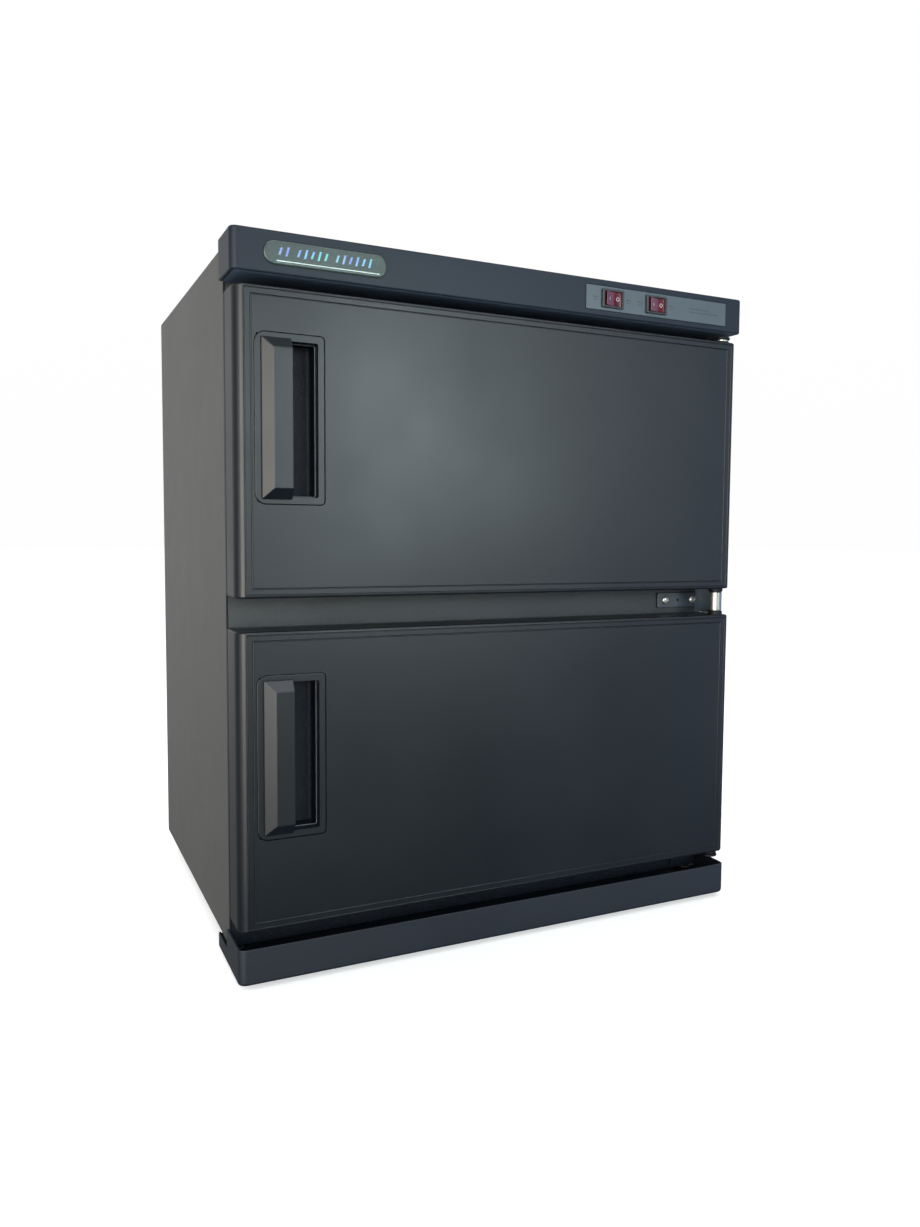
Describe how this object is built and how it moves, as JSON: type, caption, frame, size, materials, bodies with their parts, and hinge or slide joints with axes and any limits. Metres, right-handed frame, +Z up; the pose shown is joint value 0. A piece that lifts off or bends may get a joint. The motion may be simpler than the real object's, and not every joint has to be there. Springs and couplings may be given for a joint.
{
  "type": "hot towel cabinet",
  "caption": "Box-shaped hot towel warming cabinet with stacked hinged doors, recessed grips, rocker switches on the head and a slide-out drip tray.",
  "frame": {"origin": "on the floor, at the middle of the footprint, where the feet stand", "axes": "+Z up, the doors and switches face -Y, +X to the right seen from the front"},
  "size_m": [0.458, 0.394, 0.56],
  "materials": {
    "case_paint": "satin",
    "door_plastic": "satin",
    "head_plastic": "satin",
    "rubber": "matte",
    "aluminium": "satin",
    "bracket_paint": "satin",
    "chrome": "polished",
    "zinc_steel": "satin",
    "silver_plate": "satin",
    "badge_foil": "gloss",
    "red_rocker": "gloss",
    "switch_black": "satin",
    "wool": "matte",
    "heater_rubber": "matte",
    "lamp_glass": "gloss",
    "white_ceramic": "satin",
    "white_plastic": "satin"
  },
  "bodies": {
    "cabinet": {"outer_wrap": "case_paint", "front_frame": "case_paint", "back_panel": "case_paint", "base_pan": "case_paint", "back_screw_bottom_left": "zinc_steel", "back_screw_bottom_right": "zinc_steel", "back_screw_top_left": "zinc_steel", "back_screw_top_right": "zinc_steel", "top_hinge_plate": "zinc_steel", "bottom_hinge_plate": "zinc_steel", "tray_runner_left": "zinc_steel", "tray_runner_right": "zinc_steel", "uv_lamp_ballast": "zinc_steel", "foot_front_left": "rubber", "foot_front_right": "rubber", "foot_back_left": "rubber", "foot_back_right": "rubber", "power_inlet": "switch_black", "upper_thermostat": "switch_black", "lower_thermostat": "switch_black", "uv_switch_housing": "switch_black", "heat_switch_housing": "switch_black", "terminal_block": "white_ceramic", "thermal_fuse": "white_ceramic", "uv_lamp_holder_left": "white_ceramic", "uv_lamp_holder_right": "white_ceramic", "insulation_blanket": "wool", "upper_chamber_liner": "aluminium", "lower_chamber_liner": "aluminium", "uv_lamp_guard": "aluminium", "upper_heater_pad": "heater_rubber", "lower_heater_pad": "heater_rubber", "mid_hinge_barrel": "chrome", "mid_bracket_screw_left": "chrome", "mid_bracket_screw_right": "chrome", "uv_lamp_tube": "lamp_glass", "head_fascia": "head_plastic", "switch_panel": "silver_plate", "head_badge": "badge_foil", "mid_hinge_bracket": "bracket_paint"},
    "upper_door": {"upper_door_shell": "door_plastic", "upper_door_inner_panel": "white_plastic", "upper_door_insulation": "wool", "upper_door_gasket": "rubber", "upper_handle_cup": "door_plastic", "upper_handle_grip": "door_plastic"},
    "lower_door": {"lower_door_shell": "door_plastic", "lower_door_inner_panel": "white_plastic", "lower_door_insulation": "wool", "lower_door_gasket": "rubber", "lower_handle_cup": "door_plastic", "lower_handle_grip": "door_plastic"},
    "drip_tray": {"drip_tray": "door_plastic"},
    "upper_rack": {"upper_rack": "chrome"},
    "lower_rack": {"lower_rack": "chrome"},
    "uv_rocker": {"uv_switch_rocker": "red_rocker"},
    "heat_rocker": {"heat_switch_rocker": "red_rocker"}
  },
  "joints": [
    {"name": "upper_door_hinge", "type": "hinge", "parent": "cabinet", "child": "upper_door", "pos_m": [0.216, -0.18, 0.408], "axis": [0, 0, 1], "range_deg": [0, 120]},
    {"name": "lower_door_hinge", "type": "hinge", "parent": "cabinet", "child": "lower_door", "pos_m": [0.216, -0.18, 0.1573], "axis": [0, 0, 1], "range_deg": [0, 120]},
    {"name": "drip_tray_slide", "type": "slide", "parent": "cabinet", "child": "drip_tray", "axis": [0, -1, 0], "range_m": [0, 0.085]},
    {"name": "upper_rack_slide", "type": "slide", "parent": "cabinet", "child": "upper_rack", "axis": [0, -1, 0], "range_m": [-0.003, 0.012]},
    {"name": "lower_rack_slide", "type": "slide", "parent": "cabinet", "child": "lower_rack", "axis": [0, -1, 0], "range_m": [-0.003, 0.012]},
    {"name": "uv_rocker_tilt", "type": "hinge", "parent": "cabinet", "child": "uv_rocker", "pos_m": [0.088, -0.1927, 0.5443], "axis": [0, 0, 1], "range_deg": [-16, 0]},
    {"name": "heat_rocker_tilt", "type": "hinge", "parent": "cabinet", "child": "heat_rocker", "pos_m": [0.1327, -0.1927, 0.5443], "axis": [0, 0, 1], "range_deg": [-16, 0]}
  ]
}
